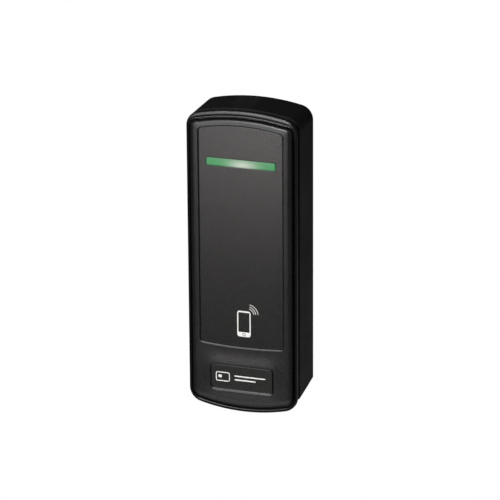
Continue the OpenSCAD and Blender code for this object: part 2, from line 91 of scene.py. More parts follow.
# The lock block's room, and the tab with the lock screw's hole
LOCK_Z = -HALF_H + 0.8
LOCK_TOP = LOCK_Z + 5.8
HOLE_R, HOLE_DEPTH, HOLE_SIDES = 1.7, 13.5, 40

# Steps along an outline: bowed end, corner, straight side
COVER_STEPS, PANEL_STEPS = (48, 18, 30), (40, 10, 40)
# Steps around a rounded rectangle: corner, side along x, side along z
BAR_STEPS, SLOT_STEPS = (10, 30, 4), (8, 10, 0)
PLATE_STEPS, PLATE_RECESS_STEPS = (10, 26, 10), (8, 26, 10)

# The cover's inner surface, from the ceiling to the wall side and out: inset, depth
SKIRT = [
    (3.35, CEILING), (3.35, 12.25), (3.15, 12.02), (2.15, 12.02), (1.95, 12.3), (1.95, 16.86),
]
NECK = [(0.85, 16.86), (0.66, 16.95), (0.60, 17.15)]

# The rim, from the outside in: inset at the sides, top and bottom; depth at the sides and ends
RIM = [
    (0.60, 0.60, 0.60, 18.50, 18.50), (0.30, 0.30, 0.30, 18.58, 18.58),
    (0.10, 0.10, 0.10, 18.70, 18.70), (0.00, 0.00, 0.00, 18.92, 18.92),
    (0.00, 0.00, 0.00, 19.35, 19.35), (0.02, 0.02, 0.02, 19.68, 19.68),
    (0.04, 0.07, 0.04, 19.96, 19.96), (0.07, 0.13, 0.08, 20.14, 20.14),
    (0.12, 0.26, 0.13, 20.26, 20.26), (0.18, 0.48, 0.20, 20.36, 20.36),
    (0.25, 0.78, 0.28, 20.46, 20.46), (0.32, 1.06, 0.36, 20.53, 20.53),
    (0.39, 1.32, 0.45, 20.56, 20.56), (0.45, 1.50, 0.53, 20.48, 20.48),
    (0.49, 1.62, 0.60, 20.30, 20.30), (0.52, 1.70, 0.66, 20.10, 20.08),
    (0.55, 1.77, 0.72, 20.02, 19.98), (0.59, 1.86, 0.78, 20.08, 20.08),
    (0.64, 1.97, 0.85, 20.22, 20.24), (0.71, 2.12, 0.95, 20.32, 20.36),
    (0.81, 2.32, 1.08, 20.36, 20.42), (0.91, 2.50, 1.22, 20.30, 20.38),
    (0.98, 2.62, 1.34, 20.10, 20.26), (1.04, 2.70, 1.44, 19.80, 20.08),
    (1.12, 2.77, 1.56, 19.50, 19.80), (1.26, 2.86, 1.80, 19.40, 19.55),
    (1.40, 2.95, 2.44, 19.50, 19.60), (1.52, 3.00, 2.58, 19.85, 20.00),
    (1.66, 3.05, 2.66, 20.30, 20.45), (1.84, 3.12, 2.74, 20.70, 20.80),
    (2.06, 3.24, 2.86, 20.98, 21.03), (2.32, 3.39, 3.00, 21.17, 21.20),
    (2.62, 3.56, 3.20, 21.30, 21.32), (2.95, 3.78, 3.44, 21.41, 21.42),
    (3.35, 4.02, 3.76, 21.49, 21.49), (3.95, 4.30, 4.12, 21.54, 21.54),
]

# Rolled lips into the two recesses: growth, further drop at the bottom, depth from the face
PANEL_LIP = [
    (0.64, 0.35, 0.0), (0.50, 0.35, 0.0), (0.36, 0.29, -0.02), (0.25, 0.20, -0.08),
    (0.16, 0.11, -0.16), (0.10, 0.04, -0.25), (0.08, 0.0, -0.34),
]
PLATE_LIP = [
    (0.76, 0.52, 0.0), (0.60, 0.46, -0.012), (0.45, 0.38, -0.06), (0.32, 0.28, -0.13),
    (0.19, 0.17, -0.22), (0.08, 0.07, -0.32), (0.02, 0.0, -0.42),
]

# The panel's outer edge and its hole for the light bar: growth, depth
PANEL_EDGE = [
    (-0.05, RECESS + 0.02), (0.0, RECESS + 0.08), (0.0, PANEL - 0.14), (-0.03, PANEL - 0.07),
    (-0.10, PANEL - 0.02), (-0.22, PANEL), (-0.34, PANEL),
]
PANEL_HOLE = [
    (0.34, PANEL), (0.22, PANEL), (0.12, PANEL - 0.02), (0.07, PANEL - 0.08),
    (0.06, PANEL - 0.15), (0.06, RECESS + 0.02),
]

# The light bar's lens, from its rear flange forward: width, height, corner radius, depth
LENS_BACK, LENS_FACE = 18.2, PANEL - 0.015
LENS = [
    (29.4, 5.6, 0.8, LENS_BACK),
    (29.4, 5.6, 0.8, CEILING - 0.03),
    (BAR_W, BAR_H, BAR_R, CEILING - 0.03),
    (BAR_W, BAR_H, BAR_R, PANEL - 0.14),
    (BAR_W - 0.06, BAR_H - 0.06, 0.72, PANEL - 0.09),
    (BAR_W - 0.2, BAR_H - 0.2, 0.65, PANEL - 0.06),
    (BAR_W - 0.5, BAR_H - 0.5, 0.5, PANEL - 0.035),
    (BAR_W - 1.1, BAR_H - 1.1, 0.4, LENS_FACE),
    (BAR_W - 1.4, BAR_H - 1.4, 0.4, LENS_FACE),
]

# The nameplate's edge, from its back forward: inset, depth below its face
PLATE_EDGE = [
    (0.26, 0.28), (0.20, 0.22), (0.20, 0.10), (0.23, 0.04), (0.30, 0.01), (0.40, 0.0),
    (0.54, 0.0),
]


# ---------------------------------------------------------------- outlines
def arc(x, z, radius, angles):
    return [(x + radius * math.cos(t), z + radius * math.sin(t)) for t in angles]


def side_points(start, end, steps):
    """The points between start and end, without the two ends."""
    return [
        (start[0] + (end[0] - start[0]) * k / steps, start[1] + (end[1] - start[1]) * k / steps)
        for k in range(1, steps)
    ]


def end_points(half_width, apex, bow, corner, inset, steps):
    """An upper end from right to left: corner, bowed arc, corner."""
    arc_steps, corner_steps, _ = steps
    radius = arc_radius(half_width, bow)
    centre_z = apex - radius
    corner_x = half_width - corner
    corner_z = centre_z + math.sqrt((radius - corner) ** 2 - corner_x * corner_x)
    turn = math.atan2(corner_z - centre_z, corner_x)
    inner = max(corner - inset, 0.25)
    quarter = [turn * k / corner_steps for k in range(corner_steps + 1)]
    middle = [turn + (math.pi - 2 * turn) * k / arc_steps for k in range(1, arc_steps)]
    return (
        arc(corner_x, corner_z, inner, quarter)
        + arc(0.0, centre_z, radius - inset, middle)
        + arc(-corner_x, corner_z, inner, [math.pi - turn + t for t in quarter])
    )


def bowed_outline(half_width, top_end, bottom_end, inset, steps, drop=0.0):
    """A closed outline between two bowed ends, each given as apex, bow and corner radius."""
    top = end_points(half_width, *top_end, inset, steps)
    bottom = end_points(half_width, *bottom_end, inset, steps)
    bottom = [(x, -z - drop) for x, z in reversed(bottom)]
    sides = steps[2]
    return (
        top + side_points(top[-1], bottom[0], sides)
        + bottom + side_points(bottom[-1], top[0], sides)
    )


def outline(inset):
    """The cover's outline, moved in by the inset."""
    top, bottom = (HALF_H, TOP_BOW, TOP_CORNER), (HALF_H, BOTTOM_BOW, BOTTOM_CORNER)
    return bowed_outline(HALF_W, top, bottom, inset, COVER_STEPS)


def heel_outline(inset):
    """The cover's outline with its bottom cut to the deeper bow."""
    centre_z = HEEL_RADIUS - HALF_H + HEEL_RAISE
    radius = HEEL_RADIUS - inset
    return [
        (x, max(z, centre_z - math.sqrt(radius ** 2 - x * x)))
        for x, z in outline(inset)
    ]


def panel_outline(growth, drop=0.0):
    """The panel's edge, grown, with its lower end dropped further."""
    return bowed_outline(PANEL_HALF_W, PANEL_TOP, PANEL_BOTTOM, -growth, PANEL_STEPS, drop)


def rounded_rect(width, height, radius, steps, centre_z):
    corner_steps, *side_steps = steps
    corners = []
    for quarter, (sign_x, sign_z) in enumerate(((1, 1), (-1, 1), (-1, -1), (1, -1))):
        angles = [
            math.radians(90 * quarter + 90 * k / corner_steps) for k in range(corner_steps + 1)
        ]
        x = sign_x * (width / 2 - radius)
        z = centre_z + sign_z * (height / 2 - radius)
        corners.append(arc(x, z, radius, angles))
    points = []
    for quarter, corner in enumerate(corners):
        following = corners[(quarter + 1) % 4]
        points += corner + side_points(corner[-1], following[0], side_steps[quarter % 2])
    return points


def inside(polygon, x, z):
    """Whether a point lies in a polygon, by counting crossings."""
    within = False
    xj, zj = polygon[-1]
    for xi, zi in polygon:
        if (zi > z) != (zj > z) and x < (xj - xi) * (z - zi) / (zj - zi) + xi:
            within = not within
        xj, zj = xi, zi
    return within


EDGE, EDGE_IN = outline(0.0), outline(1.0)
# At each outline point, 0 where the edge faces sideways and 1 where it faces up or down
END_SHARE = [min(1.0, (a[1] - b[1]) ** 2) for a, b in zip(EDGE, EDGE_IN)]


def smooth_step(t):
    t = min(1.0, max(0.0, t))
    return t * t * (3 - 2 * t)


def face_depth(x, z):
    """Depth of the cover's face inside the rim: a shallow crown, and a pillow on the chin."""
    from_side = HALF_W - abs(x)
    from_top = TOP_RADIUS - math.hypot(x, z - (HALF_H - TOP_RADIUS))
    from_bottom = BOTTOM_RADIUS - math.hypot(x, z - (BOTTOM_RADIUS - HALF_H))
    from_edge = min(from_side, from_top, from_bottom)
    crown = FRAME - 0.06 + 0.06 * smooth_step((from_edge - 3.95) / 0.8)
    pillow = (
        smooth_step((-34.6 - z) / 8.4)
        * smooth_step((from_bottom - 3.6) / 8.0)
        * smooth_step((from_side - 3.6) / 8.5)
    )
    return crown + (CHIN - FRAME + 0.04) * pillow


# ---------------------------------------------------------------- mesh building
class Builder:
    """Collects vertices and faces. Points are in mm, and are stored in metres."""

    def __init__(self):
        self.verts, self.faces = [], []

    def vertex(self, x, depth, z):
        """Adds a point and returns its index. The depth may be a function of x and z."""
        if callable(depth):
            depth = depth(x, z)
        self.verts.append((x * MM, -depth * MM, z * MM))
        return len(self.verts) - 1

    def ring(self, points, depth):
        return [self.vertex(x, depth, z) for x, z in points]

    def loft(self, rings):
        """Quads between each ring and the next."""
        for low, high in zip(rings, rings[1:]):
            for j in range(len(low)):
                k = (j + 1) % len(low)
                self.faces.append((low[j], low[k], high[k], high[j]))

    def cap(self, *rings):
        self.faces += [tuple(ring) for ring in rings]

    def fill(self, outer, depth, holes=(), extra=()):
        """A triangulated face between rings already in the mesh, with extra inner points."""
        points, known, edges, polygons = [], [], [], []
        for loop in [outer, *holes]:
            first, count = len(points), len(loop)
            polygon = [(self.verts[i][0] / MM, self.verts[i][2] / MM) for i in loop]
            polygons.append(polygon)
            points += [Vector(point) for point in polygon]
            known += loop
            edges += [(first + k, first + (k + 1) % count) for k in range(count)]
        points += [Vector(point) for point in extra]
        flat, _, faces, origins, _, _ = delaunay_2d_cdt(points, edges, [], 0, 1e-5)
        index = []
        for point, origin in zip(flat, origins):
            old = [known[k] for k in origin if k < len(known)]
            index.append(old[0] if old else self.vertex(point.x, depth, point.y))
        for face in faces:
            x = sum(flat[i].x for i in face) / len(face)
            z = sum(flat[i].y for i in face) / len(face)
            in_hole = any(inside(polygon, x, z) for polygon in polygons[1:])
            if inside(polygons[0], x, z) and not in_hole:
                corners = tuple(index[i] for i in face)
                if len(set(corners)) == len(corners):
                    self.faces.append(corners)

    def mesh(self, name):
        mesh = bpy.data.meshes.new(name)
        mesh.from_pydata(self.verts, [], self.faces)
        bm = bmesh.new()
        bm.from_mesh(mesh)
        bmesh.ops.remove_doubles(bm, verts=bm.verts, dist=1e-7)
        loose = [v for v in bm.verts if not v.link_faces]
        bmesh.ops.delete(bm, geom=loose, context="VERTS")
        bmesh.ops.recalc_face_normals(bm, faces=bm.faces)
        bm.to_mesh(mesh)
        bm.free()
        return mesh


def box_mesh(half_x, depths, heights):
    box = Builder()
    low, high = heights
    points = [(-half_x, low), (half_x, low), (half_x, high), (-half_x, high)]
    rings = [box.ring(points, depth) for depth in depths]
    box.loft(rings)
    box.cap(*rings)
    return box.mesh("box")


def apply_boolean(mesh, cutter_mesh, operation):
    """A boolean of two closed meshes, as a new mesh."""
    target = bpy.data.objects.new("bool_a", mesh)
    cutter = bpy.data.objects.new("bool_b", cutter_mesh)
    scene.collection.objects.link(target)
    scene.collection.objects.link(cutter)
    boolean = target.modifiers.new("b", "BOOLEAN")
    boolean.operation = operation
    boolean.solver = "EXACT"
    boolean.object = cutter
    depsgraph = bpy.context.evaluated_depsgraph_get()
    result = bpy.data.meshes.new_from_object(target.evaluated_get(depsgraph))
    bpy.data.objects.remove(target)
    bpy.data.objects.remove(cutter)
    return result


def smooth_group(angle):
    """Geometry nodes that shade faces smooth and keep edges sharper than the angle crisp."""
    name = f"smooth_{angle}"
    group = bpy.data.node_groups.get(name)
    if group:
        return group
    group = bpy.data.node_groups.new(name, "GeometryNodeTree")
    for in_out in ("INPUT", "OUTPUT"):
        group.interface.new_socket(
            "Geometry", in_out=in_out, socket_type="NodeSocketGeometry")
    source = group.nodes.new("NodeGroupInput")
    result = group.nodes.new("NodeGroupOutput")
    stages = []
    for domain, is_smooth in (("FACE", True), ("EDGE", False)):
        stage = group.nodes.new("GeometryNodeSetShadeSmooth")
        stage.domain = domain
        stage.inputs["Shade Smooth"].default_value = is_smooth
        stages.append(stage)
    faces, edges = stages
    edge_angle = group.nodes.new("GeometryNodeInputMeshEdgeAngle")
    sharper = group.nodes.new("FunctionNodeCompare")
    sharper.data_type = "FLOAT"
    sharper.operation = "GREATER_THAN"
    sharper.inputs[1].default_value = math.radians(angle)
    group.links.new(edge_angle.outputs["Unsigned Angle"], sharper.inputs[0])
    group.links.new(sharper.outputs[0], edges.inputs["Selection"])
    group.links.new(source.outputs[0], faces.inputs["Geometry"])
    group.links.new(faces.outputs[0], edges.inputs["Geometry"])
    group.links.new(edges.outputs[0], result.inputs[0])
    return group


def shade(ob, angle):
    """Smooth shading. Large flat faces keep their direction, and small ones take it up."""
    smooth = ob.modifiers.new("smooth", "NODES")
    smooth.node_group = smooth_group(angle)
    weighted = ob.modifiers.new("weighted", "WEIGHTED_NORMAL")
    weighted.mode = "FACE_AREA"
    weighted.weight = 80
    weighted.keep_sharp = True


def set_material(ob, name):
    ob.data.materials.clear()
    ob.data.materials.append(MATERIALS[name])


def add_object(name, mesh, material):
    ob = bpy.data.objects.new(name, mesh)
    scene.collection.objects.link(ob)
    set_material(ob, material)
    shade(ob, 40)
    return ob


def cover_piece(name, mesh, material, replaces):
    ob = add_object(name, mesh, material)
    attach(ob, "cover")
    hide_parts(replaces)


# ---------------------------------------------------------------- materials
MATERIALS = {}  # filled by Shader, under the name without its mat_ prefix

INPUTS = {
    "color": "Base Color",
    "rough": "Roughness",
    "metal": "Metallic",
    "normal": "Normal",
    "spec": "Specular IOR Level",
    "emit": "Emission Color",
    "emit_strength": "Emission Strength",
}


def grey(value):
    return (value, value, value)


def scaled(color, factor):
    return tuple(c * factor for c in color)


class Shader:
    """A new material with a Principled surface, and a short way to write its nodes."""

    def __init__(self, name):
        material = bpy.data.materials.new("mat_" + name)
        material.use_nodes = True
        MATERIALS[name] = self.material = material
        self.tree = material.node_tree
        self.tree.nodes.clear()
        self.output = self.node("ShaderNodeOutputMaterial")
        self.surface = self.node("ShaderNodeBsdfPrincipled")
        self.put(self.output.inputs[0], self.surface.outputs[0])
        self.coords = self.node("ShaderNodeTexCoord").outputs["Object"]

    def put(self, socket, value):
        """Links a socket, or sets a value. An RGB colour gets an alpha of 1."""
        if isinstance(value, bpy.types.NodeSocket):
            self.tree.links.new(value, socket)
        elif socket.type == "RGBA":
            socket.default_value = (*value, 1)
        else:
            socket.default_value = value

    def node(self, kind, inputs=None, **settings):
        node = self.tree.nodes.new(kind)
        for key, value in settings.items():
            setattr(node, key, value)
        for key, value in (inputs or {}).items():
            self.put(node.inputs[key], value)
        return node

    def stretched(self, scale):
        inputs = {"Scale": scale, "Vector": self.coords}
        return self.node("ShaderNodeMapping", inputs).outputs[0]

    def noise(self, scale, detail=3.0, rough=0.55, vector=None):
        inputs = {
            "Scale": scale, "Detail": detail, "Roughness": rough,
            "Vector": vector or self.coords,
        }
        return self.node("ShaderNodeTexNoise", inputs).outputs["Fac"]

    def voronoi(self, scale, feature="F1", vector=None):
        inputs = {"Scale": scale, "Vector": vector or self.coords}
        node = self.node("ShaderNodeTexVoronoi", feature=feature)
        for key, value in inputs.items():
            self.put(node.inputs[key], value)
        return node.outputs["Distance"]

    def remap(self, value, to, over=(0.3, 0.7)):
        """Maps one range to another, clamped. By default from the span that noise fills."""
        inputs = {
            "From Min": over[0], "From Max": over[1], "To Min": to[0], "To Max": to[1],
            "Value": value,
        }
        return self.node("ShaderNodeMapRange", inputs, clamp=True).outputs[0]

    def mix(self, factor, first, second):
        inputs = {0: factor, 6: first, 7: second}
        return self.node("ShaderNodeMix", inputs, data_type="RGBA").outputs[2]

    def math(self, operation, first, second=0.0):
        inputs = {0: first, 1: second, 2: 0.0}
        return self.node("ShaderNodeMath", inputs, operation=operation).outputs[0]

    def xyz(self):
        return self.node("ShaderNodeSeparateXYZ", {0: self.coords}).outputs

    def bump(self, height, distance, normal=None):
        """Bump by a distance in metres, over another bump if one is given."""
        inputs = {"Distance": distance, "Height": height}
        if normal is not None:
            inputs["Normal"] = normal
        return self.node("ShaderNodeBump", inputs).outputs[0]

    def pale_convex_edges(self, color, worn):
        """A paler colour on convex edges."""
        pointiness = self.node("ShaderNodeNewGeometry").outputs["Pointiness"]
        edges = self.remap(pointiness, to=(0.0, 1.0), over=(0.515, 0.58))
        return self.mix(self.math("MULTIPLY", edges, 0.35), color, worn)

    def vary_rough(self, broad, broad_to, fine, fine_to=(-0.05, 0.05)):
        """Roughness from a broad noise, with a finer one added."""
        first = self.remap(broad, to=broad_to)
        return self.math("ADD", first, self.remap(fine, to=fine_to))

    def paint_groove_shade(self, color, spec, groove_spec):
        """Painted shade: colour and specular darkened where the mesh's groove attribute is set.
        """
        groove = self.node("ShaderNodeAttribute", attribute_name="groove").outputs["Fac"]
        color = self.mix(groove, color, grey(0.0030))
        return color, self.remap(groove, to=(spec, groove_spec), over=(0.0, 1.0))

    def finish(self, **values):
        for key, value in values.items():
            self.put(self.surface.inputs[INPUTS[key]], value)


def moulded(name, base, rough, grain, depth, vary,
            spread=0.12, spec=0.5, worn=None, pores=None, shaded=False):
    """Moulded plastic: eroded grain, faint flow marks and, where asked, paler convex edges and
    painted shade where the mesh marks a groove.
    """
    mat = Shader(name)
    clouds = mat.noise(scale=55)
    light = tuple(min(1, c * (1 + vary)) for c in base)
    color = mat.mix(clouds, scaled(base, 1 - vary), light)
    if worn:
        color = mat.pale_convex_edges(color, worn)
    fine = mat.noise(scale=grain, detail=2.5, rough=0.6)
    roughness = mat.vary_rough(clouds, (rough - spread / 2, rough + spread / 2), fine)
    normal = mat.bump(fine, distance=depth)
    if pores:
        scale, distance = pores
        normal = mat.bump(mat.voronoi(scale), distance, normal)
    # painted shade: darker colour and weaker specular where the mesh's groove attribute is set
    if shaded:
        color, spec = mat.paint_groove_shade(color, spec, groove_spec=0.1)
    mat.finish(color=color, rough=roughness, normal=normal, spec=spec)


def bezel_plastic():
    """Eroded black plastic, coarser on the rim along the top, with painted shade in the groove
    between the rim and the raised frame.
    """
    mat = Shader("bezel")
    x, _, z = mat.xyz()
    clouds = mat.noise(scale=55)
    color = mat.mix(clouds, (0.0048, 0.0047, 0.0045), (0.0072, 0.0071, 0.0069))
    color = mat.pale_convex_edges(color, worn=grey(0.05))
    # the distance from the centre of the top arc
    rise = mat.math("SUBTRACT", z, (HALF_H - TOP_RADIUS) * MM)
    squares = mat.math("ADD", mat.math("MULTIPLY", x, x), mat.math("MULTIPLY", rise, rise))
    radius = mat.math("SQRT", squares)
    rim_span = ((TOP_RADIUS - 3.0) * MM, (TOP_RADIUS - 2.7) * MM)
    rim = mat.remap(radius, to=(0.0, 1.0), over=rim_span)
    rim = mat.math("MULTIPLY", rim, mat.remap(z, to=(0.0, 1.0), over=(0.051, 0.054)))
    fine = mat.noise(scale=2600, detail=2.5, rough=0.6)
    coarse = mat.math("MULTIPLY", mat.noise(scale=1700, detail=2.0, rough=0.6), rim)
    roughness = mat.vary_rough(clouds, (0.285, 0.315), fine)
    normal = mat.bump(fine, distance=0.000030)
    normal = mat.bump(mat.voronoi(scale=1900), distance=0.000012, normal=normal)
    normal = mat.bump(coarse, distance=0.000110, normal=normal)
    # painted shade in the groove: darker colour and weaker specular
    color, spec = mat.paint_groove_shade(color, spec=0.5, groove_spec=0.22)
    mat.finish(color=color, rough=roughness, normal=normal, spec=spec)


def metal(name, base, rough, streak=(40, 40, 900)):
    """Streaked metal, a little tarnished. The streak is the noise's scale along x, y and z."""
    mat = Shader(name)
    streaks = mat.noise(scale=18, detail=4, rough=0.6, vector=mat.stretched(streak))
    clouds = mat.noise(scale=160)
    tarnish = mat.remap(clouds, to=(0, 1), over=(0.3, 0.75))
    mat.finish(
        color=mat.mix(tarnish, scaled(base, 1 - 0.2), base),
        metal=1.0,
        rough=mat.vary_rough(streaks, (rough - 0.1, rough + 0.12), clouds, (-0.04, 0.05)),
        normal=mat.bump(streaks, distance=0.000004),
    )


def print_ink():
    mat = Shader("ink")
    specks = mat.noise(scale=2400)
    cover = mat.remap(specks, to=(0, 1), over=(0.35, 0.7))
    mat.finish(
        color=mat.mix(cover, (0.80, 0.80, 0.78), (0.95, 0.95, 0.93)),
        rough=mat.remap(specks, to=(0.38, 0.55)),
        normal=mat.bump(specks, distance=0.000004),
    )


def lens_glow():
    """A lit diffuser: green, with one pale bloom just below the bar's centre line."""
    mat = Shader("lens")
    x, _, z = mat.xyz()

    def offset_squared(axis, centre, width):
        offset = mat.math("DIVIDE", mat.math("SUBTRACT", axis, centre), width)
        return mat.math("MULTIPLY", offset, offset)

    def bell(squares):
        return mat.math("POWER", 2.71828, mat.math("MULTIPLY", squares, -1.0))

    bloom = bell(mat.math(
        "ADD",
        offset_squared(x, centre=0.0006, width=0.0048),
        offset_squared(z, centre=0.03895, width=0.0021),
    ))
    halo = bell(offset_squared(x, centre=0.0010, width=0.0066))
    from_middle = mat.math("ABSOLUTE", mat.math("SUBTRACT", z, BAR_Z * MM))
    edge = mat.remap(from_middle, to=(1.0, 0.62), over=(0.0009, 0.0016))
    specks = mat.noise(scale=700)
    green = mat.mix(
        mat.remap(specks, to=(0, 1)), (0.006, 0.270, 0.045), (0.016, 0.330, 0.070))
    color = mat.mix(halo, green, (0.10, 0.34, 0.13))
    color = mat.mix(bloom, color, (0.84, 0.84, 0.76))
    mat.finish(
        color=(0.03, 0.09, 0.05),
        rough=mat.remap(specks, to=(0.28, 0.4)),
        emit=mat.mix(edge, grey(0), color),
        emit_strength=0.60,
        normal=mat.bump(specks, distance=0.00001),
    )


def board():
    """Solder-masked laminate: darker copper pours, tracks and tinned vias, with painted shade
    in their holes.
    """
    mat = Shader("board")
    flat = mat.stretched((1, 0.02, 1))
    pour_noise = mat.noise(scale=60, detail=1.0, rough=0.4, vector=flat)
    pour = mat.remap(pour_noise, to=(0, 1), over=(0.47, 0.49))
    cells = mat.voronoi(scale=260, feature="DISTANCE_TO_EDGE", vector=flat)
    track = mat.remap(cells, to=(1, 0), over=(0.035, 0.055))
    dots = mat.voronoi(scale=330, vector=flat)
    via = mat.remap(dots, to=(1, 0), over=(0.10, 0.14))
    dots = mat.voronoi(scale=330, vector=flat)
    bore = mat.remap(dots, to=(1, 0), over=(0.045, 0.06))
    color = mat.mix(pour, (0.006, 0.050, 0.020), (0.010, 0.080, 0.034))
    color = mat.mix(track, color, (0.018, 0.13, 0.055))
    color = mat.mix(via, color, (0.30, 0.27, 0.18))
    # painted shade: a near-black dot in each via for its hole
    color = mat.mix(bore, color, (0.01, 0.012, 0.01))
    height = mat.math("ADD", mat.math("MULTIPLY", pour, 0.6), track)
    mat.finish(
        color=color,
        rough=mat.remap(mat.noise(scale=900, detail=2), to=(0.2, 0.34)),
        normal=mat.bump(height, distance=0.00003),
        metal=mat.math("MULTIPLY", via, 0.6),
    )


def coil_copper():
    """Wound copper wire, its turns stacked along y, with painted shade in the dark bands
    between the turns.
    """
    mat = Shader("coil")
    base = (0.50, 0.20, 0.07)
    inputs = {"Scale": 900, "Distortion": 0.15, "Vector": mat.coords}
    turns = mat.node(
        "ShaderNodeTexWave", inputs, wave_type="BANDS", bands_direction="Y").outputs["Fac"]
    mat.finish(
        # painted shade: the darker bands between the turns
        color=mat.mix(turns, scaled(base, 0.45), base),
        metal=0.9,
        rough=mat.remap(mat.noise(scale=300), to=(0.25, 0.42)),
        normal=mat.bump(turns, distance=0.00006),
    )


def insulation(name, base):
    mat = Shader(name)
    clouds = mat.noise(scale=220)
    mat.finish(
        color=mat.mix(mat.remap(clouds, to=(0, 1)), scaled(base, 0.85), base),
        rough=mat.remap(clouds, to=(0.34, 0.46)),
        normal=mat.bump(mat.noise(scale=2600, detail=2), distance=0.000008),
    )


# Base colour, roughness, grain scale, grain depth in metres, colour variation, other settings
MOULDED = {
    "housing": (grey(0.006), 0.5, 2300, 35e-6, 0.2, dict(worn=grey(0.045), spec=0.3)),
    "panel": ((0.008, 0.0076, 0.0075), 0.27, 5200, 8e-6, 0.1, dict(spread=0.01)),
    # the nameplate carries painted shade along its right edge
    "plate": ((0.012, 0.012, 0.0112), 0.28, 4600, 8e-6, 0.1, dict(spread=0.02, shaded=True)),
    "foam": (grey(0.02), 0.95, 1300, 120e-6, 0.35, dict(spec=0.2, pores=(1500, 80e-6))),
    "potting": ((0.014, 0.014, 0.017), 0.22, 260, 30e-6, 0.3, {}),
    "grommet": (grey(0.02), 0.7, 1200, 20e-6, 0.2, dict(spec=0.3)),
    "sheath": ((0.045, 0.045, 0.048), 0.45, 900, 20e-6, 0.15, {}),
    "nylon": ((0.02, 0.02, 0.022), 0.42, 1800, 10e-6, 0.2, {}),
    "ic": ((0.018, 0.018, 0.019), 0.55, 3000, 10e-6, 0.15, {}),
    "ivory": ((0.66, 0.60, 0.46), 0.4, 1500, 10e-6, 0.05, {}),
    "white": ((0.72, 0.72, 0.70), 0.45, 2000, 10e-6, 0.04, {}),
    "acetal": ((0.68, 0.66, 0.58), 0.35, 2200, 8e-6, 0.04, {}),
    "red_button": ((0.50, 0.05, 0.02), 0.4, 2200, 8e-6, 0.08, {}),
    "ferrite": ((0.035, 0.032, 0.032), 0.6, 1400, 20e-6, 0.3, dict(spec=0.6)),
}
WIRES = {
    "red": (0.45, 0.02, 0.015), "black": grey(0.012), "green": (0.02, 0.20, 0.05),
    "white": (0.72, 0.72, 0.70), "brown": (0.12, 0.045, 0.018), "blue": (0.02, 0.07, 0.34),
    "orange": (0.70, 0.19, 0.015), "yellow": (0.72, 0.52, 0.03),
}

bezel_plastic()
for name, (*values, extras) in MOULDED.items():
    moulded(name, *values, **extras)
print_ink()
lens_glow()
metal("zinc", base=(0.55, 0.54, 0.50), rough=0.34)
metal("black_steel", base=(0.05, 0.05, 0.055), rough=0.4)
metal("brass", base=(0.62, 0.42, 0.14), rough=0.32)
metal("tin", base=(0.62, 0.61, 0.58), rough=0.38, streak=(500, 60, 60))
metal("trace", base=(0.60, 0.30, 0.14), rough=0.36)
board()
coil_copper()
for name, color in WIRES.items():
    insulation("wire_" + name, color)


# ---------------------------------------------------------------- the cover's shell
def rim_ring(shell, side, top, bottom, side_depth, end_depth):
    """A ring of the rim. Inset and depth go from the side's to the end's as the edge turns."""
    at_side, at_top, at_bottom = outline(side), outline(top), outline(bottom)
    depth = [side_depth + (end_depth - side_depth) * share for share in END_SHARE]
    ring = []
    for k, share in enumerate(END_SHARE):
        x, z = at_side[k]
        end_x, end_z = (at_top if EDGE[k][1] > EDGE_IN[k][1] else at_bottom)[k]
        ring.append(shell.vertex(x + (end_x - x) * share, depth[k], z + (end_z - z) * share))
    return ring


def chin_points():
    """Staggered points between the rim and the recesses, to carry the chin's pillow."""
    rim = outline(4.55)
    panel = panel_outline(0.95, 0.4)
    plate = rounded_rect(
        PLATE_W + 2.3, PLATE_H + 3.1, 2.4, PLATE_RECESS_STEPS, PLATE_Z - 0.4)
    step = 0.7
    points = []
    z = -57.0
    row = 0
    while z < -32.0:
        x = -17.5 + (step / 2 if row % 2 else 0)
        while x < 17.6:
            if inside(rim, x, z) and not inside(panel, x, z) and not inside(plate, x, z):
                points.append((x, z))
            x += step
        z += step * 0.87
        row += 1
    return points


def lock_tab():
    """The tab that the lock screw enters, with its hole along z."""
    hole = Builder()
    low, high = [], []
    for k in range(HOLE_SIDES):
        angle = 2 * math.pi * k / HOLE_SIDES
        for ring, z in ((low, LOCK_Z + 5), (high, LOCK_Z + 9)):
            depth = HOLE_DEPTH - HOLE_R * math.sin(angle)
            ring.append(hole.vertex(HOLE_R * math.cos(angle), depth, z))
    hole.loft([low, high])
    hole.cap(low, high)
    tab = box_mesh(4.6, (11.3, CEILING + 0.3), (LOCK_TOP, LOCK_Z + 7.4))
    return apply_boolean(tab, hole.mesh("hole"), "DIFFERENCE")


def mark_groove_shade(mesh):
    """A 0 to 1 mask of painted shade on the vertices in the groove between the rim and the
    raised frame.
    """
    tree = KDTree(len(EDGE))
    for k, (x, z) in enumerate(EDGE):
        tree.insert((x, 0, z), k)
    tree.balance()
    mark = mesh.attributes.new("groove", "FLOAT", "POINT")
    for vertex in mesh.vertices:
        x, z = vertex.co.x / MM, vertex.co.z / MM
        if z > 50:
            continue
        # the wall at the right of the nameplate's recess gets the painted shade too
        if -0.4 < x - PLATE_W / 2 < 0.12 and abs(z - PLATE_Z) < PLATE_H / 2 + 0.1:
            mark.data[vertex.index].value = 1.0
        elif vertex.co.y < -0.0185:
            _, k, inset = tree.find((x, 0, z))
            share = END_SHARE[k]
            start, end = 0.57 + 0.83 * share, 1.72 + 1.06 * share
            # the painted shade is full on the right, away from the lights, and weaker on the
            # left
            full = 1.0 if x > 0 else 0.4 + 0.6 * share
            fade = min(1.0, (inset - start) / 0.12, (end - inset) / 0.25)
            mark.data[vertex.index].value = full * max(0.0, fade)


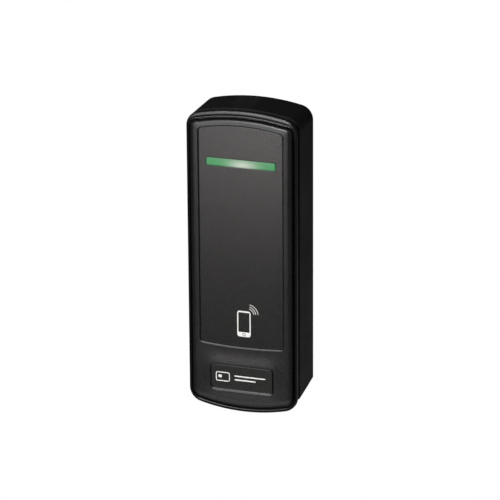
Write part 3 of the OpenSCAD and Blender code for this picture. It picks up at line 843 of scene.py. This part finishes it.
def make_shell():
    shell = Builder()
    edge = [shell.ring(heel_outline(inset), depth) for inset, depth in SKIRT]
    edge += [shell.ring(outline(inset), depth) for inset, depth in NECK]
    edge += [rim_ring(shell, *row) for row in RIM]
    shell.loft(edge)

    # the panel's recess, down to its floor
    panel = [
        shell.ring(panel_outline(growth, drop), lambda x, z: face_depth(x, z) + change)
        for growth, drop, change in PANEL_LIP
    ]
    panel.append(shell.ring(panel_outline(0.08), RECESS + 0.05))
    panel.append(shell.ring(panel_outline(0.03), RECESS))
    shell.loft(panel)

    # the nameplate's recess, with its floor
    plate_floor = PLATE_DEPTH - 0.3
    plate = []
    for growth, drop, change in PLATE_LIP:
        points = rounded_rect(
            PLATE_W + 2 * growth, PLATE_H + 2 * growth + drop, PLATE_R + growth,
            PLATE_RECESS_STEPS, PLATE_Z - drop / 2)
        plate.append(shell.ring(points, lambda x, z: face_depth(x, z) + change))
    points = rounded_rect(PLATE_W, PLATE_H, PLATE_R, PLATE_RECESS_STEPS, PLATE_Z)
    plate.append(shell.ring(points, plate_floor))
    shell.loft(plate)
    shell.fill(plate[-1], plate_floor)
    shell.fill(edge[-1], face_depth, holes=[panel[0], plate[0]], extra=chin_points())

    # the light bar's slot, through to the ceiling
    points = rounded_rect(BAR_W + SLOT_GAP, BAR_H + SLOT_GAP, SLOT_R, SLOT_STEPS, BAR_Z)
    slot = [shell.ring(points, depth) for depth in (RECESS, CEILING)]
    shell.loft(slot)
    shell.fill(panel[-1], RECESS, holes=[slot[0]])
    shell.fill(edge[0], CEILING, holes=[slot[1]])
    mesh = shell.mesh("cover_shell")

    # room for the lock block, then the tab above it
    room = box_mesh(4.5, (11, 16.2), (-HALF_H + 1.5, LOCK_TOP))
    mesh = apply_boolean(mesh, room, "DIFFERENCE")
    mesh = apply_boolean(mesh, lock_tab(), "UNION")
    mesh.name = "cover_shell"
    mark_groove_shade(mesh)
    return mesh


# ---------------------------------------------------------------- the pieces on the cover
def make_panel():
    panel = Builder()
    edge = [panel.ring(panel_outline(growth), depth) for growth, depth in PANEL_EDGE]
    panel.loft(edge)
    hole = []
    for growth, depth in PANEL_HOLE:
        points = rounded_rect(
            BAR_W + 2 * growth, BAR_H + 2 * growth, BAR_R + growth, BAR_STEPS, BAR_Z)
        hole.append(panel.ring(points, depth))
    panel.loft(hole)
    panel.fill(edge[-1], PANEL, holes=[hole[0]])
    panel.fill(edge[0], RECESS + 0.02, holes=[hole[-1]])
    return panel.mesh("panel_overlay")


def make_lens():
    lens = Builder()
    rings = [
        lens.ring(rounded_rect(width, height, radius, BAR_STEPS, BAR_Z), depth)
        for width, height, radius, depth in LENS
    ]
    lens.loft(rings)
    lens.fill(rings[-1], LENS_FACE)
    lens.fill(rings[0], LENS_BACK)
    return lens.mesh("light_lens")


def make_plate():
    plate = Builder()
    rings = []
    for inset, below in PLATE_EDGE:
        points = rounded_rect(
            PLATE_W - 2 * inset, PLATE_H - 2 * inset, PLATE_R - inset, PLATE_STEPS, PLATE_Z)
        rings.append(plate.ring(points, PLATE_DEPTH - below))
    plate.loft(rings)
    plate.fill(rings[-1], PLATE_DEPTH)
    plate.fill(rings[0], PLATE_DEPTH - PLATE_EDGE[0][1])
    mesh = plate.mesh("name_plate")
    # the right edge gets painted shade like the groove
    mark = mesh.attributes.new("groove", "FLOAT", "POINT")
    for vertex in mesh.vertices:
        at_right = vertex.co.x / MM > PLATE_W / 2 - 0.33
        mark.data[vertex.index].value = 1.0 if at_right else 0.0
    return mesh


cover_piece("cover_shell", make_shell(), "bezel", "front_bezel")
cover_piece("panel_overlay", make_panel(), "panel", "front_panel")
cover_piece("light_lens", make_lens(), "lens", "light_bar_lens")
cover_piece("name_plate", make_plate(), "plate", "nameplate")


# ---------------------------------------------------------------- the tamper spring
def make_spring():
    """A compression spring with closed ends, standing between the board and the plunger."""
    centre_x, centre_z = -11.0, -20.0
    back, front = 5.945, 8.945
    coil_r, wire_r = 2.61, 0.17
    turns, steps_per_turn, wire_sides = 4.6, 40, 14
    closed = 0.8  # turns that lie nearly flat at each end
    low, high = back + wire_r, front - wire_r
    rise = 2 * wire_r * closed * 0.55
    steps = int(turns * steps_per_turn)
    spring = Builder()
    rings = []
    for k in range(steps + 1):
        turn = turns * k / steps
        angle = 2 * math.pi * turn
        if turn < closed:
            depth = low + rise * turn / closed
        elif turn > turns - closed:
            depth = high - rise * (turns - turn) / closed
        else:
            share = (turn - closed) / (turns - 2 * closed)
            depth = low + rise + (high - low - 2 * rise) * share
        # the wire thins towards both tips
        slim = min(1.0, 0.45 + 6.0 * min(turn, turns - turn))
        ring = []
        for j in range(wire_sides):
            around = 2 * math.pi * j / wire_sides
            radius = coil_r + wire_r * math.cos(around)
            ring.append(spring.vertex(
                centre_x + radius * math.cos(angle),
                depth + wire_r * slim * math.sin(around),
                centre_z + radius * math.sin(angle),
            ))
        rings.append(ring)
    spring.loft(rings)
    spring.cap(rings[0], rings[-1])
    return spring.mesh("switch_spring")


spring = add_object("switch_spring", make_spring(), "zinc")
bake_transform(spring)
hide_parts("tamper_spring")

# ---------------------------------------------------------------- CAD pieces that stay
# Material, and the width in mm of the softened edges (0 leaves them sharp)
KEPT = {
    "rear_housing": ("housing", 0.22), "wall_gasket": ("foam", 0.1),
    "potting_layer": ("potting", 0), "wall_screws": ("zinc", 0.08),
    "screw_washers": ("zinc", 0.05), "cable_grommet": ("grommet", 0.12),
    "cable_sheath": ("sheath", 0.1), "cable_tie": ("nylon", 0.1),
    "wire_ends": ("tin", 0), "main_board": ("board", 0.05),
    "board_screws": ("zinc", 0.06), "board_inserts": ("brass", 0.06),
    "shield_can": ("tin", 0.08), "controller_chip": ("ic", 0.03),
    "radio_module": ("tin", 0.06), "crystal": ("tin", 0.15),
    "voltage_regulator": ("ic", 0.06), "power_inductor": ("ferrite", 0.15),
    "capacitors": ("tin", 0.15), "buzzer": ("nylon", 0.15),
    "buzzer_port_seal": ("foam", 0.1), "connector_header": ("ivory", 0.08),
    "connector_plug": ("ivory", 0.06), "ferrite_sheet": ("ferrite", 0.05),
    "coil_bobbin": ("nylon", 0.12), "antenna_coil": ("coil", 0.2),
    "antenna_board": ("board", 0.05), "antenna_trace": ("trace", 0),
    "status_leds": ("white", 0.08), "light_shroud": ("white", 0.08),
    "tamper_switch": ("nylon", 0.08), "tamper_button": ("red_button", 0.1),
    "tamper_plunger": ("acetal", 0.12), "lock_insert": ("brass", 0.06),
    "lock_screw": ("black_steel", 0.08), "nameplate_mark": ("ink", 0),
    "phone_symbol": ("ink", 0),
}
KEPT.update({"wire_" + color: ("wire_" + color, 0) for color in WIRES})

for name, (material, width) in KEPT.items():
    ob = nodes[name]
    set_material(ob, material)
    weld = ob.modifiers.new("weld", "WELD")
    weld.merge_threshold = 1e-6
    if width:
        bevel = ob.modifiers.new("edges", "BEVEL")
        bevel.width = width * MM
        bevel.segments = 3
        bevel.limit_method = "ANGLE"
        bevel.angle_limit = math.radians(38)
        bevel.use_clamp_overlap = True
    shade(ob, 30)


# ---------------------------------------------------------------- floor, light and camera
def studio_floor():
    """A plain pale floor that the camera sees as an even white sweep."""
    mat = Shader("floor")
    pale = mat.mix(mat.noise(scale=6, detail=2), grey(0.90), grey(0.95))
    mat.finish(color=pale, rough=0.9, spec=0.1)
    sweep = mat.node("ShaderNodeEmission", {"Color": grey(1), "Strength": 1.0})
    path = mat.node("ShaderNodeLightPath")
    mix = mat.node("ShaderNodeMixShader", {
        0: path.outputs["Is Camera Ray"], 1: mat.surface.outputs[0], 2: sweep.outputs[0],
    })
    mat.put(mat.output.inputs[0], mix.outputs[0])
    mesh = bpy.data.meshes.new("floor")
    corners = [(x, y, -0.42) for x, y in ((-8, -8), (8, -8), (8, 12), (-8, 12))]
    mesh.from_pydata(corners, [], [(0, 1, 2, 3)])
    mesh.materials.append(mat.material)
    floor = bpy.data.objects.new("floor", mesh)
    scene.collection.objects.link(floor)


def studio_world():
    """White to the camera, and dim as a light."""
    world = bpy.data.worlds.new("studio")
    scene.world = world
    world.use_nodes = True
    tree = world.node_tree
    tree.nodes.clear()
    output = tree.nodes.new("ShaderNodeOutputWorld")
    path = tree.nodes.new("ShaderNodeLightPath")
    mix = tree.nodes.new("ShaderNodeMixShader")
    tree.links.new(path.outputs["Is Camera Ray"], mix.inputs[0])
    for socket, strength in ((1, 0.043), (2, 1.05)):
        background = tree.nodes.new("ShaderNodeBackground")
        background.inputs[0].default_value = (1, 1, 1, 1)
        background.inputs[1].default_value = strength
        tree.links.new(background.outputs[0], mix.inputs[socket])
    tree.links.new(mix.outputs[0], output.inputs[0])


def softbox(name, place, target, size, radiance, tint=(1, 1, 1)):
    """An area light of a stated radiance, so its size doesn't change how bright it looks."""
    light = bpy.data.lights.new(name, "AREA")
    light.shape = "RECTANGLE"
    light.size, light.size_y = size
    light.energy = radiance * math.pi * size[0] * size[1]
    light.color = tint
    ob = bpy.data.objects.new(name, light)
    ob.location = place
    aim = Vector(target) - Vector(place)
    ob.rotation_euler = aim.to_track_quat("-Z", "Y").to_euler()
    scene.collection.objects.link(ob)
    return ob


def add_camera():
    azimuth, elevation, roll = (math.radians(a) for a in (18.645, 19.784, -0.403))
    distance = 1.210731
    target = Vector((0, -0.012, 0))
    forward = Vector((
        -math.sin(azimuth) * math.cos(elevation),
        math.cos(azimuth) * math.cos(elevation),
        -math.sin(elevation),
    ))
    level = Vector((math.cos(azimuth), math.sin(azimuth), 0))
    upright = level.cross(forward)
    right = level * math.cos(roll) + upright * math.sin(roll)
    up = -level * math.sin(roll) + upright * math.cos(roll)
    place = target - forward * distance
    data = bpy.data.cameras.new("camera")
    data.sensor_width = 36
    data.lens = 230.760648
    data.shift_x = 0.001792
    data.shift_y = 0.013722
    data.clip_start = 0.01
    data.clip_end = 60
    camera = bpy.data.objects.new("camera", data)
    scene.collection.objects.link(camera)
    rows = [(right[k], up[k], -forward[k], place[k]) for k in range(3)]
    camera.matrix_world = Matrix((*rows, (0, 0, 0, 1)))
    scene.camera = camera


studio_floor()
studio_world()
softbox("key_wide", (-0.16, -0.5, 0.14), (0, 0, 0.02), size=(0.36, 0.50), radiance=3.4)
softbox("key_low", (-0.12, -0.42, -0.08), (0, -0.02, 0.01), size=(0.05, 0.05), radiance=6.9,
        tint=(1.07, 0.98, 0.95))
softbox("key_rim", (-0.03, -0.42, 0.24), (0, -0.02, 0.04), size=(0.05, 0.05), radiance=120.0)
softbox("fill_low", (-0.05, -0.40, -0.45), (0, 0, -0.02), size=(0.5, 0.3), radiance=1.5)
softbox("fill_right", (0.5, -0.25, -0.05), (0, 0, 0), size=(0.3, 0.5), radiance=0.2)
softbox("side_back", (0.24, 0.56, -0.31), (0.02, 0, -0.02), size=(0.45, 0.20), radiance=0.12)
# narrower than the reader, so that it lights only the wall side
back_fill = softbox("back_fill", (0, 0.5, 0), (0, 0, 0), size=(0.036, 0.1), radiance=120.0)
back_fill.visible_camera = False
add_camera()
scene.view_settings.view_transform = "Standard"
scene.view_settings.look = "None"
